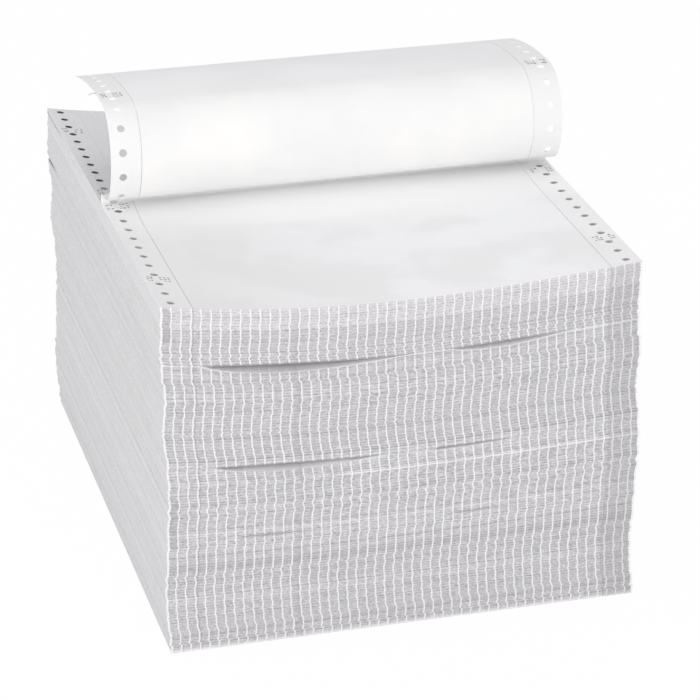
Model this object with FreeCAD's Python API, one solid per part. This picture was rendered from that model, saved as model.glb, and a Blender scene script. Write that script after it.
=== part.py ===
import FreeCAD, Part
import math
import os

# A pack of continuous multi-part forms: one long web of paper, punched along both
# edges for tractor feed, folded to and fro into a pack. The leading form lies on the
# pack from the front fold, lifts off its dished middle, turns over in a tight bend
# and curls up. The folded pack and the leading form are made as two solids that meet
# face to face.
# Millimetres. X runs along the folds, +Y from the front fold to the back fold, +Z up.
# The origin is the centre of the footprint, on the face that the pack stands on.

# --- the form -----------------------------------------------------------------
form_width = 241.3          # across the web, tear-off strips included
form_depth = 304.8          # from fold to fold
form_thickness = 0.35       # all plies of one form
hole_pitch = 12.7
hole_diameter = 4.0
hole_to_edge = 6.35         # centre of a sprocket hole to the edge of the web
strip_width = 15.9          # tear-off line to the edge of the web

# --- the pack -----------------------------------------------------------------
pack_height = 188.6         # at the front left corner, the thickest
drop_to_right = 4.0         # crimped strips on the right are pressed flatter
drop_to_back = 8.0
dish_depth = 9.2            # the middle is thinner than the two crimped strips
dish_skew = 0.85            # below 1 moves the lowest line of the dish to the left
dish_run_out = 2.0          # the dish runs out this far beyond the edges of the web
dish_knots = 6              # knots of the dished outline over the width of the web

# Layers slide on each other as the pack is handled, evenly spaced from bottom to top.
layer_slide_x = (0.0, -1.4, -1.7, 0.0, 0.5, 1.1, 1.1, -0.5, 0.8, -0.5, -0.7, 0.6)
layer_slide_y = (0.0, 0.6, 0.9, 0.2, -0.5, -0.8, -0.2, 0.5, -0.6, 0.3, 0.5, 0.3)

# Openings at the front fold where two bundles part: left end and right end as shares
# of the width, level as a share of the height, opening and depth in millimetres.
bundle_gaps = (
    (0.09, 0.50, 0.834, 4.6, 70.0),
    (0.60, 0.82, 0.838, 2.6, 45.0),
    (0.11, 0.45, 0.541, 4.0, 55.0),
)
gap_end_share = 0.15        # how far a gap has closed at its full depth

# --- the leading form ---------------------------------------------------------
# The paper leaves the dish ahead of the bend, so that the bend lies straight across.
# The bend turns up and over to the front, the rolls turn the other way, and the last
# roll uses up what is left of the form. All of them are parts of cylinders that lie
# along the bend, so the form would roll out flat.
lift_off = 114.0            # front fold to the line where the paper leaves the dish
left_flat_run = 144.5       # front fold to the bend
right_flat_run = 154.0
bend_radius = 2.5
bend_turn = 178.0           # degrees
rolls = ((66.0, 9.0), (12.0, 50.0), (27.5, 119.0))      # radius, turn in degrees
last_radius = 250.0
curl_lean = 0.05            # the curl leans to the right by this share of its height

holes_per_row = int(form_depth / hole_pitch)
first_hole = (form_depth - (holes_per_row - 1) * hole_pitch) / 2
half_width = form_width / 2
row_x = half_width - hole_to_edge
tear_x = half_width - strip_width
half_depth = form_depth / 2
dish_span = form_width + 2 * dish_run_out
spare = 1.5                 # what the cutting outlines reach past the pack
drill_over = 2.4            # what the drills reach past the paper on each side
sweep_over = 8.0            # what the curl is swept past the side edges before it is trimmed


def share_across(x):
    return (x + half_width) / form_width


def blend(left, right, x):
    return left + (right - left) * share_across(x)


def top_height(x, y):
    """Height over x, y of a form lying on the pack, its upper face."""
    share = (x + dish_span / 2) / dish_span
    dish = dish_depth * math.sin(math.pi * share ** dish_skew)
    fall_back = drop_to_back * (y + half_depth) / form_depth
    return pack_height - drop_to_right * share_across(x) - fall_back - dish


def line(start, end):
    return Part.makeLine(FreeCAD.Vector(*start), FreeCAD.Vector(*end))


def dish_curve(y, sink):
    """Curve across the dish, some way under the upper face of the leading form.

    Returns it with its two points over the side edges of the web.
    """
    xs = [form_width * (i / (dish_knots - 1) - 0.5) for i in range(dish_knots)]
    xs = [-dish_span / 2] + xs + [dish_span / 2]
    points = [FreeCAD.Vector(x, y, top_height(x, y) - sink) for x in xs]
    curve = Part.BSplineCurve()
    curve.interpolate(points)
    return curve, points[1], points[-2]


# --- pack body ----------------------------------------------------------------
def prism(edges, along_x, along_y, along_z):
    """The closed outline swept in a straight line."""
    return Part.Face(Part.Wire(edges)).extrude(FreeCAD.Vector(along_x, along_y, along_z))


def dished_prism():
    """All that lies under the leading form, with room to spare at the sides."""
    front = -half_depth - spare
    run = form_depth + 2 * spare
    curve, _, _ = dish_curve(front, form_thickness)
    left, right = curve.StartPoint, curve.EndPoint
    left_foot = (left.x, front, -pack_height)
    right_foot = (right.x, front, -pack_height)
    edges = [curve.toShape()]
    edges += [line(right, right_foot), line(right_foot, left_foot), line(left_foot, left)]
    return prism(edges, 0, run, -drop_to_back * run / form_depth)


def slid_edge(slides):
    """Offset and height of the bundles' edges, from the bottom to above the top."""
    tall = pack_height + spare
    return [(slide, tall * i / (len(slides) - 1)) for i, slide in enumerate(slides)]


def slid_prism(near, shift, sweep):
    """Two opposite faces of the pack: a line of points, its shifted copy, swept along."""
    far = [tuple(a + b for a, b in zip(point, shift)) for point in near]
    ring = near + far[::-1]
    edges = [line(a, b) for a, b in zip(ring, ring[1:] + ring[:1])]
    return prism(edges, *sweep)


def pack_body():
    front = -half_depth - spare
    side = -half_width - spare
    left_edge = [(slide - half_width, front, z) for slide, z in slid_edge(layer_slide_x)]
    fold_edge = [(side, slide - half_depth, z) for slide, z in slid_edge(layer_slide_y)]
    sides = slid_prism(left_edge, (form_width, 0, 0), (0, form_depth + 2 * spare, 0))
    folds = slid_prism(fold_edge, (0, form_depth, 0), (form_width + 2 * spare, 0, 0))
    return dished_prism().common(sides).common(folds)


def bundle_gap(left_share, right_share, level, opening, depth):
    """An opening at the front fold, under a bundle that spans the sag of the next."""
    wires = []
    front = -half_depth - 2.0
    centre = (left_share + right_share) / 2
    for y, size in ((front, 1.0), (front + depth, gap_end_share)):
        half = (right_share - left_share) / 2 * (1.0 + size) / 2
        ends = []
        for share in (centre - half, centre + half):
            x = (share - 0.5) * form_width
            ends.append(FreeCAD.Vector(x, y, level * top_height(x, y)))
        start, end = ends
        lowest = (start + end) / 2 - FreeCAD.Vector(0, 0, opening * size)
        wires.append(Part.Wire([Part.makeLine(start, end), Part.Arc(end, lowest, start).toShape()]))
    return Part.makeLoft(wires, True, True)


# --- leading form -------------------------------------------------------------
def bend_point(x):
    """A point of the bend's start, in the middle of the paper."""
    ends = []
    for side, flat_run in ((-half_width, left_flat_run), (half_width, right_flat_run)):
        y = flat_run - half_depth
        ends.append(FreeCAD.Vector(side, y, top_height(side, y) - form_thickness / 2))
    return ends[0] + (ends[1] - ends[0]) * share_across(x)


bend_line = bend_point(half_width) - bend_point(-half_width)
bend_axis = FreeCAD.Vector(bend_line).normalize()
curl_back = FreeCAD.Vector(0, 0, 1).cross(bend_axis).normalize()
curl_up = bend_axis.cross(curl_back)


def curl_run(x):
    """Length of paper over x from the bend's start to the free edge, square to the bend."""
    return (half_depth - bend_point(x).y) * curl_back.y


def along(piece, run):
    """Point and heading after a run along one arc of the curl's section."""
    back, up, heading, curvature, _ = piece
    turned = heading + curvature * run
    back += (math.sin(turned) - math.sin(heading)) / curvature
    up -= (math.cos(turned) - math.cos(heading)) / curvature
    return back, up, turned


def curl_section():
    """Arcs of the curl square to the bend: a list of (back, up, heading, curvature, length).

    The heading is 0 towards the back and grows upwards. Only the bend curves upwards.
    """
    arcs = [(bend_radius, bend_radius * math.radians(bend_turn))]
    arcs += [(-radius, radius * math.radians(turn)) for radius, turn in rolls]
    longest = max(curl_run(-half_width), curl_run(half_width)) + spare
    arcs.append((-last_radius, longest - sum(length for _, length in arcs)))
    back, up, heading = 0.0, 0.0, 0.0
    pieces = []
    for radius, length in arcs:
        pieces.append((back, up, heading, 1 / radius, length))
        back, up, heading = along(pieces[-1], length)
    return pieces


def at_run(run):
    """Point and heading of the curl's section after a run from the bend's start."""
    for piece in curl_section():
        if run < piece[4]:
            return along(piece, run)
        run -= piece[4]


def placed(x, back, up, heading=0.0, offset=0.0):
    """A point of the curl on the leaning line that starts over x, off the paper's middle."""
    base = bend_point(x)
    back -= offset * math.sin(heading)
    up += offset * math.cos(heading)
    point = base + curl_back * back + curl_up * up
    shift = x + curl_lean * (point.z - base.z) - point.x
    return point + bend_axis * (shift / (bend_axis.x - curl_lean * bend_axis.z))


def leaning_slab(left, right):
    """All between two planes that lean with the curl."""
    corners = []
    for x, height in ((left, -1), (right, -1), (right, 1), (left, 1)):
        z = height * pack_height
        corners.append((x + curl_lean * z, -half_depth, bend_point(x).z + z))
    edges = [line(a, b) for a, b in zip(corners, corners[1:] + corners[:1])]
    return prism(edges, 0, form_depth, 0)


def swept_curl():
    """The curl's section, one form thick, swept along the bend past both side edges."""
    start = bend_point(-half_width) - bend_axis * sweep_over
    sides = []
    for offset in (form_thickness / 2, -form_thickness / 2):
        edges = []
        for piece in curl_section():
            points = []
            for share in (0.0, 0.5, 1.0):
                back, up, heading = along(piece, piece[4] * share)
                back -= offset * math.sin(heading)
                up += offset * math.cos(heading)
                points.append(start + curl_back * back + curl_up * up)
            edges.append(Part.Arc(*points).toShape())
        sides.append(edges)
    inner, outer = sides
    tip = Part.makeLine(inner[-1].Vertexes[-1].Point, outer[-1].Vertexes[-1].Point)
    heel = Part.makeLine(outer[0].Vertexes[0].Point, inner[0].Vertexes[0].Point)
    profile = Part.Face(Part.Wire(inner + [tip] + outer[::-1] + [heel]))
    return profile.extrude(bend_axis * (bend_line.Length + 2 * sweep_over))


def past_free_edge():
    """What the sweep has beyond the free edge of the form."""
    ends = []
    for x in (-half_width, half_width):
        back, up, heading = at_run(curl_run(x))
        ends.append((placed(x, back, up, heading, -drill_over), heading))
    (left, _), (right, heading) = ends
    ahead = curl_back * math.cos(heading) + curl_up * math.sin(heading)
    square = curl_up * math.cos(heading) - curl_back * math.sin(heading)
    reach = (right - left) * (sweep_over / form_width)
    beyond = ahead * (abs(right_flat_run - left_flat_run) + sweep_over)
    corners = [left - reach, right + reach, right + reach + beyond, left - reach + beyond]
    edges = [line(a, b) for a, b in zip(corners, corners[1:] + corners[:1])]
    return prism(edges, *(square * (2 * drill_over)))


def curl_holes():
    """Drills through the curled paper, each square to the paper at its hole."""
    drills = []
    for x in (-row_x, row_x):
        for number in range(holes_per_row):
            run = curl_run(x) - (holes_per_row - 1 - number) * hole_pitch - first_hole
            if run > 0:
                back, up, heading = at_run(run)
                foot = placed(x, back, up, heading, -drill_over)
                square = curl_up * math.cos(heading) - curl_back * math.sin(heading)
                drills.append(Part.makeCylinder(hole_diameter / 2, 2 * drill_over, foot, square))
    return drills


def curled_part():
    """The strips at both sides are parted from the form along the tear-off lines."""
    swept = swept_curl().cut(past_free_edge())
    bounds = (-half_width, -tear_x, tear_x, half_width)
    strips = [swept.common(leaning_slab(*pair)) for pair in zip(bounds, bounds[1:])]
    return strips[0].fuse(strips[1:]).cut(curl_holes())


def lying_section(y):
    """Section of the leading form where it follows the dish, one form thick."""
    sides = []
    for sink in (0.0, form_thickness):
        curve, left, right = dish_curve(y, sink)
        sides.append((curve.toShape(curve.parameter(left), curve.parameter(right)), left, right))
    (upper, upper_left, upper_right), (lower, lower_left, lower_right) = sides
    return Part.Wire([upper, line(upper_right, lower_right), lower, line(lower_left, upper_left)])


def heel_section():
    """Section of the leading form at the start of the bend, straight across."""
    half = form_thickness / 2
    corners = [placed(-half_width, 0, half), placed(half_width, 0, half)]
    corners += [placed(half_width, 0, -half), placed(-half_width, 0, -half)]
    return Part.Wire([line(a, b) for a, b in zip(corners, corners[1:] + corners[:1])])


def leading_form():
    fall = -drop_to_back * lift_off / form_depth
    lying = Part.Face(lying_section(-half_depth)).extrude(FreeCAD.Vector(0, lift_off, fall))
    lifted = Part.makeLoft([lying_section(lift_off - half_depth), heel_section()], True, True)
    return lying.fuse(lifted).cut(pack_holes()).fuse(curled_part())


def pack_holes():
    """The sprocket holes of all the forms stand in line and run down through the pack."""
    drills = []
    for x in (-row_x, row_x):
        for number in range(holes_per_row):
            y = first_hole + number * hole_pitch - half_depth
            foot = FreeCAD.Vector(x, y, -drill_over)
            drills.append(Part.makeCylinder(hole_diameter / 2, top_height(x, y) + 2 * drill_over, foot))
    return drills


def form_pack():
    return pack_body().cut([bundle_gap(*gap) for gap in bundle_gaps] + pack_holes())


os.makedirs("parts", exist_ok=True)
for name, shape in (("form_pack", form_pack()), ("leading_form", leading_form())):
    print(name, shape.isValid(), len(shape.Solids), round(shape.Volume), shape.BoundBox)
    shape.exportStep("parts/" + name + ".step")
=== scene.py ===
import math
import random
from itertools import product

import bmesh
import bpy
from bpy.props import FloatProperty, FloatVectorProperty, IntProperty, PointerProperty
from mathutils import Matrix, Vector


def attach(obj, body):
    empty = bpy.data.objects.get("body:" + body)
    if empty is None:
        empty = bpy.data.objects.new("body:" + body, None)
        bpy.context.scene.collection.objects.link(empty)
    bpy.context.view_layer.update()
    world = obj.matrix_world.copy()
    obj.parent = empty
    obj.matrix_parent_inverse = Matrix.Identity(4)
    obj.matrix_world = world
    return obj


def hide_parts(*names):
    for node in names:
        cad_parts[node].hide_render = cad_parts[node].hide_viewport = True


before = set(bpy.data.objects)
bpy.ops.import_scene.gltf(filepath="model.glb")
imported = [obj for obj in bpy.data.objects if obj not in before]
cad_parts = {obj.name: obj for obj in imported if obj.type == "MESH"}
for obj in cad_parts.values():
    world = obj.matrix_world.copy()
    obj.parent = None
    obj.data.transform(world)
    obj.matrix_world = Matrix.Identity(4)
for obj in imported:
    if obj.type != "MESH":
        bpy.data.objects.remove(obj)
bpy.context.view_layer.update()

bl_info = {
    "name": "Continuous form pack",
    "version": (1, 0, 0),
    "blender": (4, 5, 0),
    "location": "3D View > Sidebar > Form pack",
    "description": "A fan-folded pack of continuous forms with a curled leading form",
    "category": "Add Mesh",
}

# X runs along the folds, +Y from the front fold to the back fold, +Z up, in metres.
# Constants are in millimetres, degrees or shares where they don't say otherwise.
MM = 0.001
WELD = 1e-7                 # vertices of the pack closer than this are one, in metres
FLAT_WELD = 1e-6            # the same for the flat form
UP = (0, 0, 1)

# --- the folded pack ---
CELLS = 24                  # sprocket holes along one form
SHAFT_RING = 12             # edges round a shaft
EDGE_BAND = 0.9             # uncut end of a fold
TIE_SLOPE = 0.25            # slope beside each tie
TEAR_DEPTH = 1.5            # how much deeper a fold is cut at the tear-off lines
FOLD_BAND = 1.5             # side of the pack close to a fold
FOLD_GROOVE = 0.16          # groove between two folds
STEADY_END = 2.0            # the ties don't wobble this close to the edges of the web
WOBBLE = 0.1                # sideways wobble of the ties, as two waves multiplied
WOBBLE_WAVES = ((2.3, 1.9), (0.37, 0.7))  # radians for a form and for a millimetre
ASIDE = 0.25                # share of a form that tells one side of an opening from the other
SHADED_GAP = 0.005          # an opening of this height, in metres, paints full shade on the fold above it
FLAT_NORMAL = 0.7           # faces whose normals rise more than this are shaded smooth
FORMS = 500
BUNDLES = (                 # name, first form, form above the last
    ("forms_bottom", 0, 166),
    ("forms_lower", 166, 270),
    ("forms_middle", 270, 418),
    ("forms_top", 418, 500),
)
# Openings between forms, at the front fold or along the left side: form above the
# opening, its two ends and its widest point as shares of the width or of the depth,
# rise of the forms above, sag of the forms below, and depth.
OPENINGS = (
    ("front", 418, 0.085, 0.50, 0.24, 0.5, 3.9, 70.0),
    ("front", 418, 0.60, 0.84, 0.70, 0.3, 2.5, 45.0),
    ("front", 270, 0.10, 0.44, 0.24, 0.4, 3.2, 55.0),
    ("front", 270, 0.55, 0.74, 0.60, 0.1, 0.9, 30.0),
    ("front", 166, 0.15, 0.34, 0.20, 0.1, 0.7, 30.0),
    ("front", 166, 0.60, 0.74, 0.64, 0.1, 0.7, 30.0),
    ("left", 418, 0.95, 1.06, 0.99, 0.1, 0.5, 12.0),
    ("left", 496, 0.84, 1.04, 0.95, 0.0, 1.4, 12.0),
)
RISE_REACH = 34             # forms over which a bundle takes up the rise of its lowest one
SAG_REACH = 26              # forms over which a bundle takes up the sag of its highest one
OPENING_TAPER = 1.5         # power by which an opening and a sag die away

# Sideways slide of the forms and slide along the web, evenly spaced from the bottom up.
SLIDE_X = (0.6, -0.9, -1.5, 0.0, 0.5, 1.1, 1.1, -0.5, 0.8, -0.5, -0.7, 0.0)
SLIDE_Y = (0.0, 0.6, 0.9, 0.2, -0.5, -0.8, -0.2, 0.5, -0.6, 0.3, 0.5, 0.0)
SLIDE_Y_SHARE = 0.8         # the part of the slides along the web that shows
SLIDE_X_LIMITS, SLIDE_Y_LIMITS = (-1.4, 1.6), (-0.7, 0.75)
STRAY_X, STRAY_Y = 0.11, 0.03  # spread of the slides of single forms
ZIGZAG = 0.55               # reach of the zigzag that the ties follow
ZIGZAG_FORMS = (3, 10)      # fewest and most forms from one turn of it to the next
CALM_FORMS = 12             # forms at the bottom and the top over which it dies away
CALM_BELOW = 2              # what is left of it at the lowest form, in forms
PROUD = 0.05                # what a fold stands in or out

# Brightness of the forms: 1 is the palest and -1 the darkest.
PAIR_TONE = 0.34            # spread of the pairs of forms, pale and dark in turn
DARK_PAIRS, DARKER = 0.06, 0.4  # share of the darker pairs, and by how much
FORM_TONE = 0.5             # the two forms of a pair, up and down
TOP_BAND = 468              # the forms above this one are paler at the folds
TOP_TONE = 0.5              # how much paler they are
TONE_LIMIT, PLACE_TONE_LIMIT = 1.2, 1.0  # for a form, and for a place on it
FRONT_SPECKLE, SPECKLE = 0.2, 0.1  # spread along one form
TIE_TONES = (0.8, 1.0)      # whiteness of the ties on even and on odd forms
TIE_SPREAD = 0.12
TEAR_SHADES = {"front": 0.5, "back": 0.5, "cover": 0.25}
NOTCH_SHADE = 0.8           # openings at the left side
TOP_WHITE = 0.75            # share of the paler sheet white, painted light, on the topmost form
SHAFTS_BEHIND = 0.02        # shafts behind this line take deeper painted shade, for the curl's shadow, in metres
OPEN_SHAFT = (0.4, 0.12)    # share of the sheet's paler white in a shaft, painted light, and of painted shade
# the same behind that line: no painted light, and deep painted shade
SHADED_SHAFT = (0.0, 0.95)

# Lines along the front fold: form, left end and right end as shares, pale above 0 and
# dark below.
# The dark lines just above the openings are painted shade, and the pale lines on the rims just
# below them painted light.
FOLD_LINES = (
    (1, 0.0, 1.0, 0.75),
    (2, 0.0, 1.0, 0.55),
    (4, 0.0, 1.0, 0.5),
    (79, 0.0, 0.11, 0.65),
    (165, 0.25, 0.35, 0.5),
    (165, 0.35, 1.0, 0.35),
    (247, 0.0, 0.35, 0.4),
    (247, 0.35, 1.0, 0.9),
    (248, 0.35, 1.0, 0.5),
    (269, 0.09, 0.45, 0.8),
    (269, 0.45, 0.82, 0.5),
    (417, 0.08, 1.0, 0.92),
    (416, 0.47, 0.61, -0.7),
    (416, 0.85, 1.0, 0.4),
    (418, 0.0, 0.09, 0.5),
    (167, 0.17, 0.25, -0.5),
    (167, 0.61, 0.68, -0.5),
    (271, 0.10, 0.44, -0.8),
    (271, 0.56, 0.69, -0.8),
    (419, 0.08, 0.51, -0.8),
    (419, 0.59, 0.85, -0.7),
    (442, 0.72, 1.0, -0.6),
    (446, 0.45, 0.73, -0.5),
)
# Darker places of the front fold: first and last form, left and right end from the left
# edge, and strength.
DARK_PATCHES = (
    (452, 497, 1.0, 4.8, 0.3),
    (155, 228, 1.0, 4.8, 0.25),
    (0, 500, 67.2, 67.7, 0.2),
    (0, 500, 225.2, 240.2, 0.2),
)

# --- the leading form and what is on it ---
RING = 24                   # edges round a sprocket hole
SLITS_PER_CELL = 6          # slits of a tear-off line for each sprocket hole
SLOT = 0.35                 # half the width of the band that the slits are in
SLIT_INSET = 0.27           # paper left round each slit
MIDDLE_FACES = 24           # faces from one tear-off line to the other
LIFTING_CUTS = (0.120, 0.126, 0.132, 0.138, 0.144)  # where it leaves the dish, in metres
ROLLS = ((0.066, 9.0), (0.012, 50.0), (0.02745, 119.0))  # radius in metres, and turn
RULING_TURNS = (12.0, 4.5, 7.0, 6.0, 2.4)  # turn of a facet: bend, rolls, last arc
SHARP_ANGLE = 35.0          # edges turned more than this look sharp
CRIMPS_ABOVE = (3, 11, 19)  # crimps of the leading form, in hole pitches from the front fold
CRIMPS_BELOW = (13, 21)     # crimps of the form below, where it shows
CRIMP_COLUMNS = (2.2, 3.9, 8.6, 10.2, 12.2)  # edge of the web to the tabs
CRIMP_ROWS = (-2.5, 0.0, 2.5)  # along the web
CRIMP_STRAY = 0.3           # a tab is at most this far from its place
CRIMP_MISSING = 0.2         # share of the tabs that aren't pressed through
CRIMP_HALF_WIDTHS, CRIMP_HALF_DEPTHS = (0.35, 0.65), (0.3, 0.5)
CRIMP_FRONT, CRIMP_BACK, CRIMP_ROOT = 0.2, 0.05, -0.1  # heights of a tab over the paper
SLIVER_PITCHES = (19.3, 19.5)  # where the shred hangs, and a place further along the web
SLIVER_INSIDE = 0.4         # the edge of the web to the middle of its root
SLIVER_HALF_WIDTH, SLIVER_TAPER = 0.7, 0.4  # at its root, and less at its tip
SLIVER_REACH = (-3.9, 2.5, -0.9)  # from its root to its tip
SLIVER_ARCH, SLIVER_ARCH_TURN = 0.5, 3.6  # height, and radians over its length
SLIVER_SWAY, SLIVER_SWAY_TURN = 0.3, 5
SLIVER_THICKNESS = (0.04, 0.06, 0.1)  # from its lower face to its upper one
SLIVER_FACES = 10           # along its length

# --- finishes ---
PAPER_SPECULAR = 0.25       # paper shines only weakly
# Runs on the flat form from its front fold, in metres.
CURL_FRONT, CURL_FRONT_REACH = 0.195, 0.0625  # painted warm light where the curl faces the front
LYING_RUN = 0.14            # end of the part that lies flat
LIT_BEND_RUN, LIT_BEND_REACH = 0.138, 0.045  # painted light here, where the paper lifts off and bends, against the shade under the curl
TEAR_LINE = 0.3             # half the width of a tear-off line
TEAR_PITCH, TEAR_BRIDGE = 3.2, 0.13  # pitch of its slits, and half a bridge
FOLD_END = 0.05             # the cuts of a fold reach this far over the form

# --- studio: places in metres, sizes of lamps in metres, power in watts ---
LAMPS = (
    ("key", (-0.4, -2.1, 0.95), 1.4, 20.0),
    ("left", (-1.9, -0.2, 0.9), 0.9, 10.0),
    ("top", (0.1, 0.6, 1.9), 1.2, 2.5),
)
LIT_PLACE = (0, 0, 0.1)
WHITE = (1, 1, 1, 1)
FLOOR_REACH = 6.0
FLOOR_GLOW = 0.97           # how far the floor looks plain white
SKY, SKY_STRENGTH = (0.99, 0.99, 0.995, 1), 0.73
CAMERA_PLACE = (-0.405, -1.589, 0.827)
CAMERA_HEADING, CAMERA_DIP, CAMERA_ROLL = -14.71, 24.36, -0.27
FOCAL_LENGTH, SENSOR_WIDTH = 173.4, 36.0


# --- sizes and colours ---
def length(name, description, default):
    return FloatProperty(
        name=name, description=description, default=default, unit="LENGTH", precision=5
    )


def colour(name, description, default):
    return FloatVectorProperty(
        name=name, description=description, default=default, subtype="COLOR", size=3,
        min=0.0, max=1.0,
    )


class FORMPACK_sizes(bpy.types.PropertyGroup):
    """Sizes of the form and of the pack."""

    form_width: length("Form width", "Across the web, tear-off strips included", 0.2413)
    form_depth: length("Form depth", "From fold to fold", 0.3048)
    form_thickness: length("Form thickness", "All plies of one form", 0.00035)
    hole_diameter: length("Hole diameter", "Sprocket hole", 0.004)
    hole_to_edge: length("Hole to edge", "Centre of a hole to the edge of the web", 0.00635)
    strip_width: length("Strip width", "Tear-off line to the edge of the web", 0.0159)
    pack_height: length("Pack height", "At the front left corner", 0.1886)
    drop_to_right: length("Drop to the right", "Loss of height from left to right", 0.004)
    drop_to_back: length("Drop to the back", "Loss of height from front to back", 0.008)
    dish_depth: length("Dish depth", "Depth of the dished middle", 0.0092)
    dish_run_out: length("Dish run-out", "The dish runs out this far beyond the edges", 0.002)
    dish_skew: FloatProperty(
        name="Dish skew", description="Below 1 moves the dish left", default=0.85
    )
    tie_pitch: length("Tie pitch", "Spacing of the paper ties along a fold", 0.00483)
    tie_start: length("First tie", "Left edge of the web to the first tie", 0.0052)
    tie_width: length("Tie width", "Width of a paper tie", 0.00105)
    tie_height: length("Tie height", "What a tie stands proud of the cuts beside it", 0.00034)
    seed: IntProperty(name="Seed", description="Seed of the uneven folds", default=11)


class FORMPACK_curl(bpy.types.PropertyGroup):
    """Sizes of the leading form where it lifts off and curls up."""

    lift_off: length("Lift-off", "Front fold to where the paper leaves the dish", 0.114)
    left_flat_run: length("Left flat run", "Front fold to the bend at the left edge", 0.1445)
    right_flat_run: length("Right flat run", "Front fold to the bend at the right edge", 0.154)
    bend_radius: length("Bend radius", "Radius of the tight bend", 0.0025)
    bend_turn: FloatProperty(
        name="Bend turn", description="Turn of the tight bend", default=math.radians(178),
        subtype="ANGLE",
    )
    last_radius: length("Last radius", "Radius up to the free edge", 0.25)
    lean: FloatProperty(name="Lean", description="Lean to the right per height", default=0.05)


class FORMPACK_finish(bpy.types.PropertyGroup):
    """Colours of the paper and of the surroundings."""

    sheet: colour("Sheet", "Face of the paper", (0.862, 0.86, 0.858))
    # The ties are paper white made paler than the sheet, painted light where they stand proud;
    # the cuts are grey, painted shade between the plies.
    lit_fold_tie: colour("Fold ties", "Paper ties along the folds", (0.95, 0.95, 0.95))
    shaded_fold_cut: colour("Fold cuts", "Cut edges between the ties", (0.55, 0.537, 0.555))
    ply_edge: colour("Ply edges", "Cut edges at the sides", (0.65, 0.642, 0.652))
    floor: colour("Floor", "Floor of the studio", (0.9, 0.9, 0.9))


# --- making the folded pack ---
def clamp(value, low, high):
    return max(low, min(high, value))


def top_height(size, x, y):
    """Height over x, y of a form lying on the pack, its upper face."""
    half_width, half_depth = size.form_width / 2, size.form_depth / 2
    share = (x + half_width + size.dish_run_out) / (size.form_width + 2 * size.dish_run_out)
    dish = size.dish_depth * math.sin(math.pi * clamp(share, 0.0, 1.0) ** size.dish_skew)
    fall = size.drop_to_right * (x + half_width) / size.form_width
    fall += size.drop_to_back * (y + half_depth) / size.form_depth
    return size.pack_height - fall - dish


def between(values, share):
    """Straight interpolation in a list of evenly spaced values."""
    place = clamp(share, 0.0, 1.0) * (len(values) - 1)
    index = min(int(place), len(values) - 2)
    return values[index] + (values[index + 1] - values[index]) * (place - index)


class Folds:
    """How each form of the pack lies: its slide, its fold and its brightness."""

    def __init__(self, size):
        draw = random.Random(size.seed)
        self.slide_x, self.slide_y, self.proud, self.tone = [], [], [], []
        target, left = 0.0, 0
        for form in range(FORMS + 1):
            if left <= 0:
                start = target
                span = left = draw.randint(*ZIGZAG_FORMS)
                target = draw.uniform(-ZIGZAG, ZIGZAG)
            zigzag = target + (start - target) * left / span
            left -= 1
            calm = min(1.0, (FORMS - form) / CALM_FORMS, (form + CALM_BELOW) / CALM_FORMS)
            share = form / FORMS
            slide = between(SLIDE_X, share) + (zigzag + draw.gauss(0, STRAY_X)) * calm
            self.slide_x.append(clamp(slide, *SLIDE_X_LIMITS) * MM)
            slide = between(SLIDE_Y, share) * SLIDE_Y_SHARE + draw.gauss(0, STRAY_Y) * calm
            self.slide_y.append(clamp(slide, *SLIDE_Y_LIMITS) * MM)
            self.proud.append(draw.uniform(-PROUD, PROUD) * MM)
            if form % 2 == 0:
                pair = abs(draw.gauss(0, PAIR_TONE)) * (1 if form % 4 else -1)
                if draw.random() < DARK_PAIRS:
                    pair -= DARKER
            tone = pair + (FORM_TONE if form % 2 else -FORM_TONE)
            if form > TOP_BAND:
                tone = tone * (1 - TOP_TONE / 2) + TOP_TONE
            self.tone.append(clamp(tone, -TONE_LIMIT, TONE_LIMIT))


def opening_at(size, form, x, y):
    """Rise or sag of a form beside the openings between forms."""
    move = 0.0
    from_left, from_front = x + size.form_width / 2, y + size.form_depth / 2
    for side, above, start, end, widest, rise, sag, depth in OPENINGS:
        share, inside = from_left / size.form_width, from_front
        if side == "left":
            share, inside = from_front / size.form_depth, from_left
        if start < share < end and inside < depth * MM:
            place = (share - start) / (end - start)
            power = math.log(0.5) / math.log((widest - start) / (end - start))
            reach = math.sin(math.pi * place ** power)
            reach *= (1 - inside / (depth * MM)) ** OPENING_TAPER
            if form >= above:
                fade = max(0.0, 1 - (form - above) / RISE_REACH)
                move += rise * MM * reach * fade
            else:
                fade = max(0.0, 1 - (above - form) / SAG_REACH) ** OPENING_TAPER
                move -= sag * MM * reach * fade
    return move


def gap_below(size, form, column):
    """How far a form stands open above the one under it."""
    x, y = column[:2]
    return opening_at(size, form + ASIDE, x, y) - opening_at(size, form - ASIDE, x, y)


def fold_columns(size):
    """Places along a fold: distance from the left edge, depth of the cuts there, and kind."""
    half_tie = size.tie_width / 2
    deep = size.tie_height
    edge = EDGE_BAND * MM
    slope = TIE_SLOPE * MM
    width = size.form_width
    columns = [(0.0, 0.0, "tie"), (edge, 0.0, "tie"), (edge + slope, deep, "cut")]
    for tear in (size.strip_width, width - size.strip_width):
        columns += [(tear - slope, deep, "cut"), (tear + slope, deep, "cut")]
        columns.append((tear, deep * TEAR_DEPTH, "tear"))
    columns += [(width - edge - slope, deep, "cut"), (width - edge, 0.0, "tie")]
    columns.append((width, 0.0, "tie"))
    place = size.tie_start
    while place < width - 2 * edge - half_tie:
        columns += [(place - half_tie, deep, "cut"), (place - half_tie + slope, 0.0, "tie")]
        columns += [(place + half_tie - slope, 0.0, "tie"), (place + half_tie, deep, "cut")]
        place += size.tie_pitch
    return sorted(columns)


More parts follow.
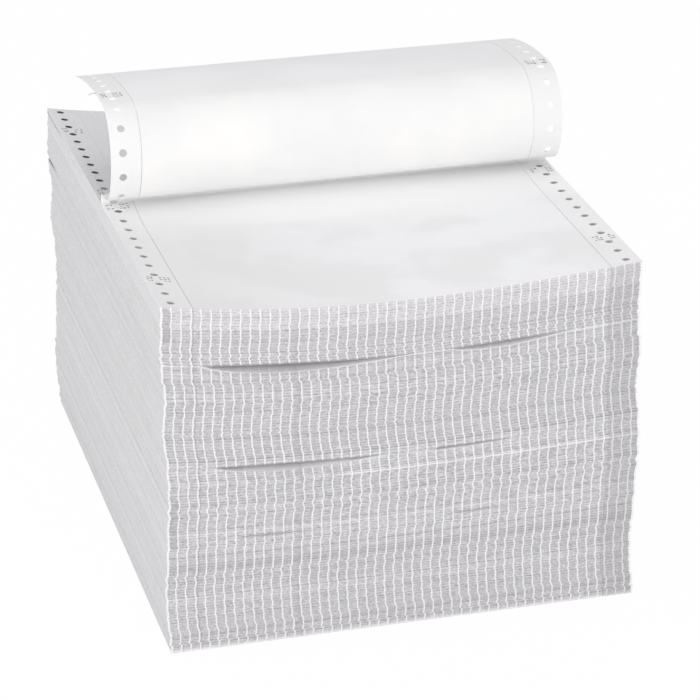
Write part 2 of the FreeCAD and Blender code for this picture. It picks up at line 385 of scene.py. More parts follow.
def round_the_pack(size):
    """Columns of the pack's outside in order: x, y, side, depth of the cuts, kind."""
    half_width, half_depth = size.form_width / 2, size.form_depth / 2
    across = fold_columns(size)
    steps = [size.form_depth * k / CELLS - half_depth for k in range(1, CELLS)]
    steps = [FOLD_BAND * MM - half_depth, *steps, half_depth - FOLD_BAND * MM]
    ring = [(s - half_width, -half_depth, "front", deep, kind) for s, deep, kind in across]
    ring += [(half_width, y, "side", 0.0, "ply") for y in steps]
    across.reverse()
    ring += [(s - half_width, half_depth, "back", deep, kind) for s, deep, kind in across]
    ring += [(-half_width, y, "side", 0.0, "ply") for y in reversed(steps)]
    return ring + ring[:1]


def pack_point(size, folds, column, form, upper):
    """Where a column of the pack's outside meets a form, on the upper or lower bundle."""
    x, y, side, deep, _ = column
    z = form / FORMS * (top_height(size, x, y) - size.form_thickness)
    z += opening_at(size, form + (ASIDE if upper else -ASIDE), x, y)
    groove = wobble = 0.0
    if side == "front":
        groove = deep + folds.proud[form] + (FOLD_GROOVE * MM if form % 2 == 0 else 0.0)
    if side == "back":
        groove = -deep - folds.proud[form] - (FOLD_GROOVE * MM if form % 2 else 0.0)
    if side in ("front", "back") and abs(x) < size.form_width / 2 - STEADY_END * MM:
        wobble = WOBBLE * MM
        for per_form, per_mm in WOBBLE_WAVES:
            wobble *= math.sin(form * per_form + x / MM * per_mm)
    return Vector((x + folds.slide_x[form] + wobble, y + folds.slide_y[form] + groove, z))


def line_at(column, form, size):
    """Brightness of the line of the front fold that runs through a place, 0 without one."""
    x, _, side, _, _ = column
    share = x / size.form_width + 0.5
    for at, left, right, tone in FOLD_LINES:
        if at == form and left <= share <= right and side == "front":
            return tone
    return 0.0


def shade_at(column, form, size):
    """How much painted shade or other darkening a place takes, beyond the grey of its cuts."""
    x, y, side, _, kind = column
    from_left, from_front = x + size.form_width / 2, y + size.form_depth / 2
    shade = TEAR_SHADES[side] if kind == "tear" else 0.0
    if side == "front":
        shade = max(shade, -line_at(column, form, size))
        for first, last, left, right, strength in DARK_PATCHES:
            if first <= form <= last and left <= from_left / MM <= right:
                shade = max(shade, strength)
    for at, above, start, end, *_ in OPENINGS:
        beside = at == "left" and side == "side" and x < 0 and form in (above - 1, above)
        if beside and start < from_front / size.form_depth < end:
            shade = NOTCH_SHADE
    return shade


def grid(bm, columns, rows):
    """A fresh grid that spans -1 to 1: each vertex with its column and its row."""
    made = bmesh.ops.create_grid(bm, x_segments=columns, y_segments=rows, size=1.0)["verts"]
    return [
        (v, round((v.co.x + 1) / 2 * columns), round((v.co.y + 1) / 2 * rows)) for v in made
    ]


def faces_of(verts):
    """The faces at some vertices, each once and always in the same order."""
    return list(dict.fromkeys(face for vert in verts for face in vert.link_faces))


def new_verts(made):
    return [part for part in made["geom"] if isinstance(part, bmesh.types.BMVert)]


def new_faces(made):
    return [part for part in made["geom"] if isinstance(part, bmesh.types.BMFace)]


def bundle_mesh(size, folds, first, last):
    """The forms from first to last as one closed shell with its shafts.

    Its layers tell the material what a place is: a tie, a ply edge or plain sheet, how pale
    it is, and how much painted shade or other darkening lies on it. The end layer only finds
    the rims to fill.
    """
    bm = bmesh.new()
    tie_layer = bm.verts.layers.float.new("tie")
    tone_layer = bm.verts.layers.float.new("tone")
    ply_layer = bm.verts.layers.float.new("ply")
    shade_layer = bm.verts.layers.float.new("shade")
    end_layer = bm.verts.layers.int.new("end")
    sheet_layer = bm.faces.layers.float.new("sheet")
    shaft_shade_layer = bm.faces.layers.float.new("shaft")
    draw = random.Random(size.seed + first)
    ring = round_the_pack(size)

    def settle(vert, column, form):
        """Puts a vertex where its column meets its form, and fills its layers."""
        vert.co = pack_point(size, folds, column, form, form == first)
        line = line_at(column, form, size)
        tie = 0.0
        if column[4] == "tie" and column[2] != "cover":
            tie = TIE_TONES[form % 2] - abs(draw.gauss(0, TIE_SPREAD))
        # Pale lines, painted light on the rims among them, whiten like ties.
        vert[tie_layer] = max(tie, line, 0.0)
        speckle = draw.gauss(0, FRONT_SPECKLE if column[2] == "front" else SPECKLE)
        tone = folds.tone[form] + speckle
        vert[tone_layer] = clamp(tone, -PLACE_TONE_LIMIT, PLACE_TONE_LIMIT)
        vert[ply_layer] = 1.0 if column[4] == "ply" else 0.0
        # Painted shade of dark lines, darker places and the folds above openings.
        shade = shade_at(column, form, size)
        if column[2] == "front" and form == first:
            shade = max(shade, gap_below(size, first, column) / SHADED_GAP)
        vert[shade_layer] = shade
        vert[end_layer] = 1 if form == first else 2 if form == last else 0

    for vert, i, j in grid(bm, len(ring) - 1, last - first):
        settle(vert, ring[i], first + j)

    # The faces between the two tear-off lines, at the bottom and at the top.
    half_width, half_depth = size.form_width / 2, size.form_depth / 2
    reach = half_width - size.strip_width + TIE_SLOPE * MM + WELD
    across = [c for c in fold_columns(size) if abs(c[0] - half_width) < reach]
    for form in (first, last):
        cover = grid(bm, len(across) - 1, CELLS)
        for vert, i, j in cover:
            s, deep, kind = across[i]
            side = {0: "front", CELLS: "back"}.get(j, "cover")
            y = size.form_depth * j / CELLS - half_depth
            settle(vert, (s - half_width, y, side, deep, kind), form)
        # The flat faces take the paler sheet white, painted light on the ledges in the
        # openings.
        for face in faces_of(vert for vert, _, _ in cover):
            face[sheet_layer] = TOP_WHITE if form == FORMS else 1.0

    # The shafts that the sprocket holes make.
    radius = size.hole_diameter / 2
    for x in (-half_width + size.hole_to_edge, half_width - size.hole_to_edge):
        for cell in range(CELLS):
            y = size.form_depth * (cell + 0.5) / CELLS - half_depth
            tube = bmesh.ops.create_cone(
                bm, cap_ends=False, segments=SHAFT_RING, radius1=radius, radius2=radius,
                depth=1.0, matrix=Matrix.Translation((x, y, 0.0)),
            )["verts"]
            for vert in tube:
                form = last if vert.co.z > 0 else first
                settle(vert, (vert.co.x, vert.co.y, "cover", 0.0, "shaft"), form)
            # Painted shade inside each shaft, deepest behind the curl.
            look = OPEN_SHAFT if y < SHAFTS_BEHIND else SHADED_SHAFT
            for face in faces_of(tube):
                face[sheet_layer], face[shaft_shade_layer] = look

    bmesh.ops.remove_doubles(bm, verts=bm.verts, dist=WELD)

    # The tear-off strips between the shafts and the edges, at the bottom and at the top.
    for end, sign in product((1, 2), (-1, 1)):
        rim = [
            e for e in bm.edges
            if e.is_boundary and all(v[end_layer] == end and v.co.x * sign > 0 for v in e.verts)
        ]
        made = bmesh.ops.triangle_fill(bm, edges=rim, use_beauty=True, normal=UP)
        # The strips take the same painted light.
        for face in new_faces(made):
            face[sheet_layer] = TOP_WHITE if last == FORMS and end == 2 else 1.0
    bmesh.ops.recalc_face_normals(bm, faces=bm.faces)
    for face in bm.faces:
        face.smooth = abs(face.normal.z) > FLAT_NORMAL
    for edge in bm.edges:
        if len(edge.link_faces) == 2 and edge.link_faces[0].smooth != edge.link_faces[1].smooth:
            edge.smooth = False
    return bm


# --- making the leading form ---
class Curl:
    """The way that the leading form lies, lifts and curls."""

    def __init__(self, size, curl):
        self.size, self.curl = size, curl
        self.half_width, self.half_depth = size.form_width / 2, size.form_depth / 2
        left = self.bend_end(-self.half_width, curl.left_flat_run)
        right = self.bend_end(self.half_width, curl.right_flat_run)
        self.left, self.line = left, right - left
        self.axis = self.line.normalized()
        self.back = Vector(UP).cross(self.axis).normalized()
        self.up = self.axis.cross(self.back)
        self.slope = self.line.y / size.form_width
        self.arcs = self.section()

    def bend_end(self, x, run):
        """Where the bend starts at an edge of the web."""
        y = run - self.half_depth
        return Vector((x, y, top_height(self.size, x, y) - self.size.form_thickness / 2))

    def bend_point(self, x):
        return self.left + self.line * ((x + self.half_width) / self.size.form_width)

    def rolls(self):
        """Radius and length of each arc after the flat part, the bend first."""
        arcs = [(self.curl.bend_radius, self.curl.bend_radius * self.curl.bend_turn)]
        for radius, turn in ROLLS:
            arcs.append((-radius, radius * math.radians(turn)))
        arcs.append((-self.curl.last_radius, self.size.form_depth))
        return arcs

    def section(self):
        """Start of each arc: back, up, heading, curvature, run at its start."""
        back = up = heading = run = 0.0
        starts = []
        for radius, span in self.rolls():
            starts.append((back, up, heading, 1 / radius, run))
            back, up, heading = self.along(starts[-1], span)
            run += span
        return starts

    def along(self, arc, span):
        """Back, up and heading after a run along an arc."""
        back, up, heading, curvature, _ = arc
        turned = heading + curvature * span
        back += (math.sin(turned) - math.sin(heading)) / curvature
        up -= (math.cos(turned) - math.cos(heading)) / curvature
        return back, up, turned

    def point(self, s, t, offset):
        """Where a point of the flat form lies: s from the middle, t from the front fold."""
        base = self.bend_point(s)
        run = (t - self.half_depth - base.y) * self.back.y
        if run <= 0:
            return self.lying(s, t, offset, base)
        arc = [a for a in self.arcs if a[4] <= run][-1]
        back, up, heading = self.along(arc, run - arc[4])
        back -= offset * math.sin(heading)
        up += offset * math.cos(heading)
        spot = base + self.back * back + self.up * up
        shift = s + self.curl.lean * (spot.z - base.z) - spot.x
        return spot + self.axis * (shift / (self.axis.x - self.curl.lean * self.axis.z))

    def lying(self, s, t, offset, base):
        """The same ahead of the bend, where the paper eases out of the dish."""
        size = self.size
        y = t - self.half_depth
        dished = top_height(size, s, y) - size.form_thickness / 2
        flat = base.y + self.half_depth
        lifted = max(0.0, (t - self.curl.lift_off) / (flat - self.curl.lift_off))
        straight = base.z - size.drop_to_back / size.form_depth * (t - flat)
        ease = lifted * lifted * (3 - 2 * lifted)
        return Vector((s, y, dished + (straight - dished) * ease + offset))

    def rulings(self):
        """Runs at which the curl is creased into flat facets."""
        stops = [0.0]
        run = 0.0
        for index, (radius, span) in enumerate(self.rolls()):
            step = math.radians(RULING_TURNS[index])
            pieces = max(1, round(span / abs(radius) / step))
            stops += [run + span * (k + 1) / pieces for k in range(pieces)]
            run += span
        return [stop for stop in stops if stop < self.size.form_depth]


def hole_cell(bm, centre, radius, low, high):
    """A rectangle of the web round a sprocket hole, from its low to its high corner.

    The ring starts at the low corner, and its edges match the slits beside it.
    """
    first_corner = math.radians(45)
    ring = bmesh.ops.create_circle(
        bm, cap_ends=False, segments=RING, radius=radius,
        matrix=Matrix.Translation(centre) @ Matrix.Rotation(first_corner, 4, "Z"),
    )["verts"]
    rim = list(dict.fromkeys(edge for vert in ring for edge in vert.link_edges))
    per_side = RING // 4
    for vert in new_verts(bmesh.ops.extrude_edge_only(bm, edges=rim)):
        arm = vert.co - centre
        turn = math.atan2(arm.y, arm.x) + first_corner
        index = round(turn / math.tau * RING) % RING
        side, share = divmod(index, per_side)
        share /= per_side
        corners = ((high.x, low.y), (high.x, high.y), (low.x, high.y), (low.x, low.y))
        (x0, y0), (x1, y1) = corners[side], corners[(side + 1) % 4]
        vert.co = Vector((x0 + (x1 - x0) * share, y0 + (y1 - y0) * share, 0.0))


def strip_of_web(bm, columns, middle, half_width, depth):
    """A flat strip from fold to fold, with a row of faces for each slit. Its faces."""
    verts = [vert for vert, _, _ in grid(bm, columns, CELLS * SLITS_PER_CELL)]
    for vert in verts:
        x, y, _ = vert.co
        vert.co = Vector((middle + half_width * x, depth * (y + 1) / 2, 0.0))
    return faces_of(verts)


def flat_form(size):
    """The leading form before it is curled, with its holes and tear-off slits."""
    bm = bmesh.new()
    half_width = size.form_width / 2
    tear = half_width - size.strip_width
    slot = SLOT * MM
    pitch = size.form_depth / CELLS
    for sign in (-1, 1):
        for cell in range(CELLS):
            x = sign * (half_width - size.hole_to_edge)
            centre = Vector((x, pitch * (cell + 0.5), 0.0))
            xs = sorted((sign * half_width, sign * (tear + slot)))
            low, high = Vector((xs[0], pitch * cell, 0)), Vector((xs[1], pitch * (cell + 1), 0))
            hole_cell(bm, centre, size.hole_diameter / 2, low, high)
        slits = strip_of_web(bm, 1, sign * tear, slot, size.form_depth)
        bmesh.ops.inset_individual(bm, faces=slits, thickness=SLIT_INSET * MM)
        bmesh.ops.delete(bm, geom=slits, context="FACES")
    strip_of_web(bm, MIDDLE_FACES, 0.0, tear - slot, size.form_depth)
    bmesh.ops.remove_doubles(bm, verts=bm.verts, dist=FLAT_WELD)
    return bm


def crimp_mesh(size, curl):
    """Small pressed tabs in the strips, which hold the plies together."""
    bm = bmesh.new()
    draw = random.Random(size.seed + 1)
    way = Curl(size, curl)
    half_width = size.form_width / 2
    pitch = size.form_depth / CELLS
    for below, pitches in ((False, CRIMPS_ABOVE), (True, CRIMPS_BELOW)):
        for sign, count, inward, row in product((-1, 1), pitches, CRIMP_COLUMNS, CRIMP_ROWS):
            if draw.random() < CRIMP_MISSING:
                continue
            s = sign * (half_width - inward * MM - draw.uniform(-CRIMP_STRAY, CRIMP_STRAY) * MM)
            t = pitch * count + (row + draw.uniform(-CRIMP_STRAY, CRIMP_STRAY)) * MM
            wide = draw.uniform(*CRIMP_HALF_WIDTHS) * MM
            deep = draw.uniform(*CRIMP_HALF_DEPTHS) * MM
            for vert in bmesh.ops.create_cube(bm, size=1.0)["verts"]:
                x, y, z = vert.co
                u, v = s + x * wide * 2, t + y * deep * 2
                lift = CRIMP_ROOT * MM if z < 0 else (CRIMP_FRONT if y < 0 else CRIMP_BACK) * MM
                if below:
                    y = v - size.form_depth / 2
                    z = top_height(size, u, y) - size.form_thickness + lift
                    vert.co = Vector((u, y, z))
                else:
                    vert.co = way.point(u, v, size.form_thickness / 2 + lift)
    bmesh.ops.recalc_face_normals(bm, faces=bm.faces)
    return bm


def sliver_mesh(size, curl):
    """A shred of the web that hangs from the left edge of the curl."""
    bm = bmesh.new()
    way = Curl(size, curl)
    left = -size.form_width / 2 + SLIVER_INSIDE * MM
    root, ahead = [way.point(left, size.form_depth * at / CELLS, 0.0) for at in SLIVER_PITCHES]
    web = (ahead - root).normalized()
    out, back, drop = SLIVER_REACH
    for vert, _, _ in grid(bm, SLIVER_FACES, 1):
        share = (vert.co.x + 1) / 2
        half = (SLIVER_HALF_WIDTH - SLIVER_TAPER * share) * MM * vert.co.y
        height = SLIVER_ARCH * math.sin(SLIVER_ARCH_TURN * share) + drop * share
        sway = SLIVER_SWAY * MM * math.sin(SLIVER_SWAY_TURN * share)
        sweep = Vector((out * share, back * share, height)) * MM
        vert.co = root + sweep + web * (half + sway)
    thick = bmesh.ops.extrude_face_region(bm, geom=bm.faces[:], use_keep_orig=True)
    for vert in new_verts(thick):
        vert.co += Vector(SLIVER_THICKNESS) * MM
    bmesh.ops.recalc_face_normals(bm, faces=bm.faces)
    for face in bm.faces:
        face.smooth = True
    return bm


def leading_form_mesh(size, curl):
    """The leading form: cut along its creases, made as thick as a form, then curled."""
    bm = flat_form(size)
    way = Curl(size, curl)
    along = Vector((1.0, way.slope, 0.0)).normalized()
    across = Vector((-along.y, along.x, 0.0))
    start = way.bend_point(0.0).y + way.half_depth
    cuts = [((0, start + run / way.back.y, 0), across) for run in way.rulings()]
    cuts += [((0, run, 0), (0, 1, 0)) for run in LIFTING_CUTS]
    for place, facing in cuts:
        geom = bm.verts[:] + bm.edges[:] + bm.faces[:]
        bmesh.ops.bisect_plane(bm, geom=geom, dist=WELD, plane_co=place, plane_no=facing)
    for vert in bm.verts:
        vert.co.z -= size.form_thickness / 2
    thick = bmesh.ops.extrude_face_region(bm, geom=bm.faces[:], use_keep_orig=True)
    for vert in new_verts(thick):
        vert.co.z += size.form_thickness
    flat = bm.loops.layers.uv.new("flat")
    for face in bm.faces:
        for loop in face.loops:
            loop[flat].uv = (loop.vert.co.x, loop.vert.co.y)
    for vert in bm.verts:
        vert.co = way.point(vert.co.x, vert.co.y, vert.co.z)
    bmesh.ops.recalc_face_normals(bm, faces=bm.faces)
    for face in bm.faces:
        face.smooth = True
    for edge in bm.edges:
        if len(edge.link_faces) != 2 or edge.calc_face_angle() > math.radians(SHARP_ANGLE):
            edge.smooth = False
    return bm


# --- materials ---
class Socket:
    """A value of a shader tree that takes part in sums."""

    def __init__(self, tree, socket):
        self.tree, self.socket = tree, socket

    def maths(self, operation, *others):
        """The result of a Math node on this value and others."""
        node = self.tree.node("ShaderNodeMath", {"operation": operation}, [self, *others])
        return self.tree.out(node)

    def ridge(self, centre, reach):
        """1 where this value is at the centre, falling to 0 at the reach on both sides."""
        return (1.0 - (self - centre).maths("ABSOLUTE") * (1 / reach)).maths("MAXIMUM", 0.0)

    def bars(self, half_gap):
        """0 close to each whole number and 1 between them. The gap is a share of a step."""
        return self.maths("PINGPONG", 0.5).maths("GREATER_THAN", half_gap)

    def __add__(self, other):
        return self.maths("ADD", other)

    def __sub__(self, other):
        return self.maths("SUBTRACT", other)

    def __rsub__(self, other):
        node = self.tree.node("ShaderNodeMath", {"operation": "SUBTRACT"}, [other, self])
        return self.tree.out(node)

    def __mul__(self, other):
        return self.maths("MULTIPLY", other)

    __radd__ = __add__
    __rmul__ = __mul__


class Tree:
    """Builds the nodes of one material or world."""

    def __init__(self, owner):
        owner.use_nodes = True
        self.nodes, self.links = owner.node_tree.nodes, owner.node_tree.links
        self.nodes.clear()

    def node(self, kind, settings=(), inputs=()):
        """A node with its settings, then the values or links of its sockets."""
        node = self.nodes.new(kind)
        for name, value in dict(settings).items():
            setattr(node, name, value)
        pairs = inputs.items() if isinstance(inputs, dict) else enumerate(inputs)
        for name, value in pairs:
            if isinstance(value, Socket):
                self.links.new(value.socket, node.inputs[name])
            else:
                node.inputs[name].default_value = value
        return node

    def out(self, node, name=0):
        return Socket(self, node.outputs[name])

    def mix(self, factor, a, b):
        """Blend of two colours."""
        node = self.node("ShaderNodeMix", {"data_type": "RGBA"}, {0: factor, 6: a, 7: b})
        return self.out(node, 2)

    def place(self):
        """The place on the piece, in metres."""
        return self.out(self.node("ShaderNodeTexCoord"), "Object")

    def noise(self, place, scale, detail):
        inputs = {"Vector": place, "Scale": scale, "Detail": detail}
        return self.out(self.node("ShaderNodeTexNoise", {}, inputs))

    def attribute(self, name):
        return self.out(self.node("ShaderNodeAttribute", {"attribute_name": name}), "Fac")

    def seen(self):
        """1 for what the camera, a reflection or glass shows, 0 for what lights the pack."""
        path = self.node("ShaderNodeLightPath")
        seen = self.out(path, "Is Camera Ray")
        for ray in ("Is Glossy Ray", "Is Transmission Ray"):
            seen = seen.maths("MAXIMUM", self.out(path, ray))
        return seen

    def surface(self, colour, roughness, height, strength, distance):
        """Matt paper: its colour, and a bump from the height of its fibres."""
        bump = {"Strength": strength, "Distance": distance, "Height": height}
        inputs = {
            "Base Color": colour,
            "Roughness": roughness,
            "Normal": self.out(self.node("ShaderNodeBump", {}, bump)),
            "Specular IOR Level": PAPER_SPECULAR,
        }
        shader = self.node("ShaderNodeBsdfPrincipled", {}, inputs)
        self.node("ShaderNodeOutputMaterial", {}, {"Surface": self.out(shader)})


def rgba(colour, share=1.0):
    """A colour, or a share of it for each channel or for all, as a socket takes it."""
    shares = share if isinstance(share, tuple) else (share, share, share)
    return (*[channel * part for channel, part in zip(colour, shares)], 1.0)


def sheet_paper(material, finish, size):
    """The face of the leading form. Its UV map gives the place on the flat form."""
    tree = Tree(material)
    place = tree.place()
    fibre = tree.noise(place, scale=900.0, detail=4.0)
    cloud = tree.noise(place, scale=22.0, detail=3.0)
    drift = tree.noise(place, scale=9.0, detail=2.0)
    sheet = finish.sheet
    tear = size.form_width / 2 - size.strip_width
    flat = tree.node("ShaderNodeUVMap", {"uv_map": "flat"})
    split = tree.node("ShaderNodeSeparateXYZ", {}, [tree.out(flat)])
    across, along = tree.out(split, "X"), tree.out(split, "Y")
    # Painted light: warmer where the curl faces the front lamps, cooler where it lies in shade.
    warm_light = along.ridge(CURL_FRONT, CURL_FRONT_REACH) + (drift - 0.5) * 0.7
    cool, warm = rgba(sheet, (0.985, 0.99, 1.01)), rgba(sheet, (1.015, 1.005, 0.985))
    light_tint = tree.mix(warm_light, cool, warm)
    # The part that lies flat is more uneven, and painted shade makes it darker to the left.
    lying = along.maths("LESS_THAN", LYING_RUN)
    uneven = (cloud - 0.5) * (lying * 4.5 + 2.5) + 0.45
    clouded = tree.mix(uneven, light_tint, rgba(sheet, (0.925, 0.925, 0.94)))
    left_shade = (0.0 - across * 10.0).maths("MAXIMUM", 0.0) * lying
    shaded_left = tree.mix(left_shade * 0.5, clouded, rgba(sheet, 0.84))
    mottled = tree.mix(fibre * 0.22, shaded_left, rgba(sheet, 0.92))
    # The strips at both edges are darker.
    strip = across.maths("ABSOLUTE").maths("GREATER_THAN", tear)
    strips_darker = tree.mix(strip * 0.5, mottled, rgba(sheet, 0.93))
    # The tear-off lines, with painted shade in their slits, which are darker than the bridges
    # between them.
    line = across.maths("ABSOLUTE").ridge(tear, TEAR_LINE * MM)
    slits = (along * (1 / (TEAR_PITCH * MM))).bars(TEAR_BRIDGE)
    scored = tree.mix(line * (slits * 0.38 + 0.12), strips_darker, rgba(sheet, 0.42))
    # The cuts of the folds at both ends of the form, grey with painted shade.
    pitches = (across + (size.form_width / 2 - size.tie_start)) * (1 / size.tie_pitch)
    cut = pitches.bars(size.tie_width / 2 / size.tie_pitch)
    start = along.maths("LESS_THAN", FOLD_END * MM)
    end = along.maths("GREATER_THAN", size.form_depth - FOLD_END * MM)
    cuts = tree.mix(cut * (start + end) * 0.8, scored, rgba(finish.shaded_fold_cut))
    # Painted light: paler where the paper lifts off and bends, against the shade under the
    # curl.
    lifted = tree.mix(along.ridge(LIT_BEND_RUN, LIT_BEND_REACH), cuts, rgba(sheet, 1.07))
    tree.surface(lifted, 0.88 - 0.08 * cloud, fibre, strength=0.12, distance=0.00012)


def crimp_shade(material, finish, _):
    """The crimp tabs, dark with painted shade of their cuts."""
    tree = Tree(material)
    grain = tree.noise(tree.place(), scale=1500.0, detail=2.0)
    colour = tree.mix(grain, rgba(finish.sheet, 0.08), rgba(finish.sheet, 0.4))
    tree.surface(colour, 0.92 - 0.05 * grain, grain, strength=0.2, distance=0.0001)


def folded_paper(material, finish, _):
    """The folds, sides, shafts and flat faces of the pack, told apart by attributes."""
    tree = Tree(material)
    place = tree.place()
    fibre = tree.noise(place, scale=1100.0, detail=3.0)
    cloud = tree.noise(place, scale=30.0, detail=3.0)
    stretch = [place, (0.3, 0.3, 1.0)]
    stretched = tree.node("ShaderNodeVectorMath", {"operation": "MULTIPLY"}, stretch)
    grit = tree.noise(tree.out(stretched), scale=2000.0, detail=1.0)
    cut, edge, sheet = finish.shaded_fold_cut, finish.ply_edge, finish.sheet
    level = tree.attribute("tone") * 0.48 + 0.5 + (grit - 0.5) * 1.45
    # Cuts grey with painted shade, ties paper white with painted light.
    cuts = tree.mix(level, rgba(cut, 0.6), rgba(cut, 1.38))
    sides = tree.mix(level, rgba(edge, 0.86), rgba(edge, 1.12))
    plain = tree.mix(tree.attribute("ply"), cuts, sides)
    tied = tree.mix(tree.attribute("tie"), plain, rgba(finish.lit_fold_tie))
    # Flat faces and shaft walls paler than the sheet: painted light.
    faced = tree.mix(tree.attribute("sheet"), tied, rgba(sheet, (1.08, 1.07, 1.1)))
    shaded = tree.mix(tree.attribute("shade"), faced, rgba(cut, 0.42))
    # Painted shade inside the shafts.
    shaft_shaded = tree.mix(tree.attribute("shaft"), shaded, rgba(sheet, 0.12))
    colour = tree.mix(fibre * 0.2 + cloud * 0.12, shaft_shaded, rgba(cut, 0.75))
    tree.surface(colour, 0.9 - 0.08 * cloud, fibre, strength=0.15, distance=0.00012)


# --- making the pieces ---
def paper(scene, build):
    """The material that carries the name of its function, built when it is first used."""
    material = bpy.data.materials.get(build.__name__)
    if material is None:
        material = bpy.data.materials.new(build.__name__)
        build(material, scene.formpack_finish, scene.formpack_sizes)
    return material


def new_object(scene, name, bm, material):
    """An object at the origin from a finished bmesh."""
    mesh = bpy.data.meshes.new(name)
    bm.to_mesh(mesh)
    bm.free()
    mesh.materials.append(material)
    made = bpy.data.objects.new(name, mesh)
    scene.collection.objects.link(made)
    return made


def place_piece(scene, name, bm, build, *replaced):
    """A piece of the pack, which rides on the root and may stand for a CAD node."""
    piece = new_object(scene, name, bm, paper(scene, build))
    if replaced:
        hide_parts(*replaced)
    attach(piece, "root")


class FORMPACK_OT_bundles(bpy.types.Operator):
    """Make the folded pack, one piece for each bundle of forms"""

    bl_idname = "formpack.bundles"
    bl_label = "Folded bundles"

    def execute(self, context):
        scene = context.scene
        size = scene.formpack_sizes
        folds = Folds(size)
        for name, first, last in BUNDLES:
            bm = bundle_mesh(size, folds, first, last)
            place_piece(scene, name, bm, folded_paper, "form_pack")
        return {"FINISHED"}


class FORMPACK_OT_leading_form(bpy.types.Operator):
    """Make the leading form, which lies on the pack and curls up"""

    bl_idname = "formpack.leading_form"
    bl_label = "Leading form"

    def execute(self, context):
        scene = context.scene
        bm = leading_form_mesh(scene.formpack_sizes, scene.formpack_curl)
        place_piece(scene, "top_form", bm, sheet_paper, "leading_form")
        return {"FINISHED"}


class FORMPACK_OT_crimps(bpy.types.Operator):
    """Make the pressed tabs that hold the plies together"""

    bl_idname = "formpack.crimps"
    bl_label = "Crimps"

    def execute(self, context):
        scene = context.scene
        bm = crimp_mesh(scene.formpack_sizes, scene.formpack_curl)
        place_piece(scene, "crimps", bm, crimp_shade)
        return {"FINISHED"}


class FORMPACK_OT_sliver(bpy.types.Operator):
    """Make the shred of paper at the left edge of the curl"""

    bl_idname = "formpack.sliver"
    bl_label = "Sliver"

    def execute(self, context):
        scene = context.scene
        bm = sliver_mesh(scene.formpack_sizes, scene.formpack_curl)
        # The shred takes the grey of the fold cuts, painted shade, as it carries none of the
        # pack's layers.
        place_piece(scene, "sliver", bm, folded_paper)
        return {"FINISHED"}


def make_floor(scene):
    """A floor that looks plain white and keeps the shadow of the pack."""
    material = bpy.data.materials.new("floor")
    tree = Tree(material)
    matt = tree.node("ShaderNodeBsdfDiffuse", {}, {"Color": rgba(scene.formpack_finish.floor)})
    glow = tree.node("ShaderNodeEmission", {}, {"Color": WHITE, "Strength": 1.0})
    shaders = [tree.seen() * FLOOR_GLOW, tree.out(matt), tree.out(glow)]
    both = tree.node("ShaderNodeMixShader", {}, shaders)
    tree.node("ShaderNodeOutputMaterial", {}, {"Surface": tree.out(both)})
    bm = bmesh.new()
    bmesh.ops.create_grid(bm, x_segments=1, y_segments=1, size=FLOOR_REACH)
    floor = new_object(scene, "floor", bm, material)


def make_world(scene):
    """Soft light from all round, behind a plain white background."""
    scene.world = bpy.data.worlds.new("studio")
    tree = Tree(scene.world)
    soft = tree.node("ShaderNodeBackground", {}, {"Color": SKY, "Strength": SKY_STRENGTH})
    white = tree.node("ShaderNodeBackground", {}, {"Color": WHITE, "Strength": 1.0})
    both = tree.node("ShaderNodeMixShader", {}, [tree.seen(), tree.out(soft), tree.out(white)])
    tree.node("ShaderNodeOutputWorld", {}, {"Surface": tree.out(both)})


def make_lamp(scene, name, place, width, watts):
    """A square lamp that faces the pack."""
    data = bpy.data.lights.new(name, "AREA")
    data.shape = "SQUARE"
    data.size = width
    data.energy = watts
    lamp = bpy.data.objects.new(name, data)
    lamp.location = place
    facing = (Vector(LIT_PLACE) - Vector(place)).to_track_quat("-Z", "Y")
    lamp.rotation_euler = facing.to_euler()
    scene.collection.objects.link(lamp)


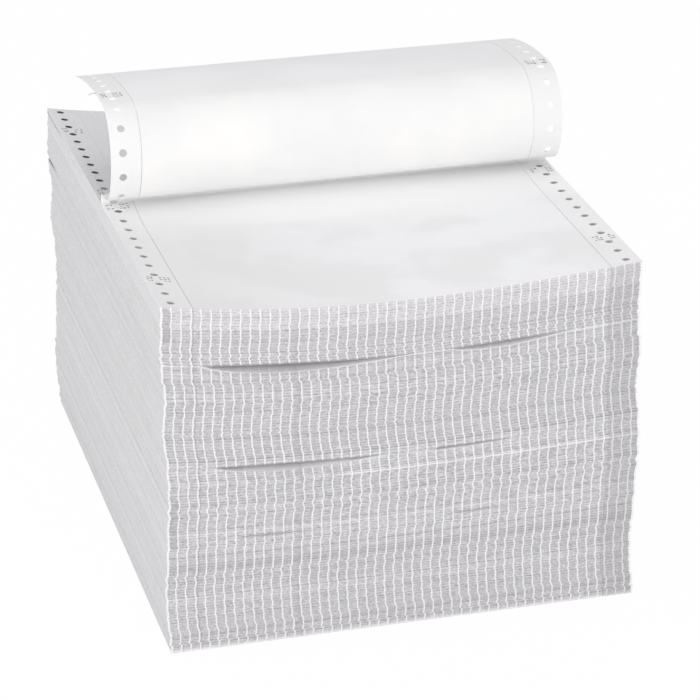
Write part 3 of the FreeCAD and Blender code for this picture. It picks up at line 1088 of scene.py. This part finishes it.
def make_camera(scene):
    """The camera, above the front fold and a little to the left."""
    lens = bpy.data.cameras.new("camera")
    lens.sensor_width = SENSOR_WIDTH
    lens.lens = FOCAL_LENGTH
    camera = bpy.data.objects.new("camera", lens)
    turn = Matrix.Rotation(math.radians(CAMERA_HEADING), 3, "Z")
    turn @= Matrix.Rotation(math.radians(90 - CAMERA_DIP), 3, "X")
    turn @= Matrix.Rotation(math.radians(CAMERA_ROLL), 3, "Z")
    camera.matrix_world = Matrix.Translation(CAMERA_PLACE) @ turn.to_4x4()
    scene.collection.objects.link(camera)
    scene.camera = camera


class FORMPACK_OT_studio(bpy.types.Operator):
    """Make the floor, the lights and the camera"""

    bl_idname = "formpack.studio"
    bl_label = "Studio"

    def execute(self, context):
        scene = context.scene
        make_floor(scene)
        make_world(scene)
        for lamp in LAMPS:
            make_lamp(scene, *lamp)
        make_camera(scene)
        scene.view_settings.view_transform = "Standard"
        return {"FINISHED"}


class FORMPACK_PT_panel(bpy.types.Panel):
    """Sizes, finishes and pieces of the pack"""

    bl_label = "Form pack"
    bl_idname = "FORMPACK_PT_panel"
    bl_space_type = "VIEW_3D"
    bl_region_type = "UI"
    bl_category = "Form pack"

    def draw(self, context):
        scene = context.scene
        for group in (scene.formpack_sizes, scene.formpack_curl, scene.formpack_finish):
            box = self.layout.box()
            for name in group.__annotations__:
                box.prop(group, name)
        for operator in OPERATORS:
            self.layout.operator(operator.bl_idname)


GROUPS = (FORMPACK_sizes, FORMPACK_curl, FORMPACK_finish)
OPERATORS = (
    FORMPACK_OT_bundles,
    FORMPACK_OT_leading_form,
    FORMPACK_OT_crimps,
    FORMPACK_OT_sliver,
    FORMPACK_OT_studio,
)


def register():
    for cls in GROUPS + OPERATORS + (FORMPACK_PT_panel,):
        bpy.utils.register_class(cls)
    bpy.types.Scene.formpack_sizes = PointerProperty(type=FORMPACK_sizes)
    bpy.types.Scene.formpack_curl = PointerProperty(type=FORMPACK_curl)
    bpy.types.Scene.formpack_finish = PointerProperty(type=FORMPACK_finish)


def unregister():
    del bpy.types.Scene.formpack_sizes
    del bpy.types.Scene.formpack_curl
    del bpy.types.Scene.formpack_finish
    for cls in reversed(GROUPS + OPERATORS + (FORMPACK_PT_panel,)):
        bpy.utils.unregister_class(cls)


def main():
    register()
    bpy.ops.formpack.bundles()
    bpy.ops.formpack.leading_form()
    bpy.ops.formpack.crimps()
    bpy.ops.formpack.sliver()
    bpy.ops.formpack.studio()


if __name__ == "__main__":
    main()
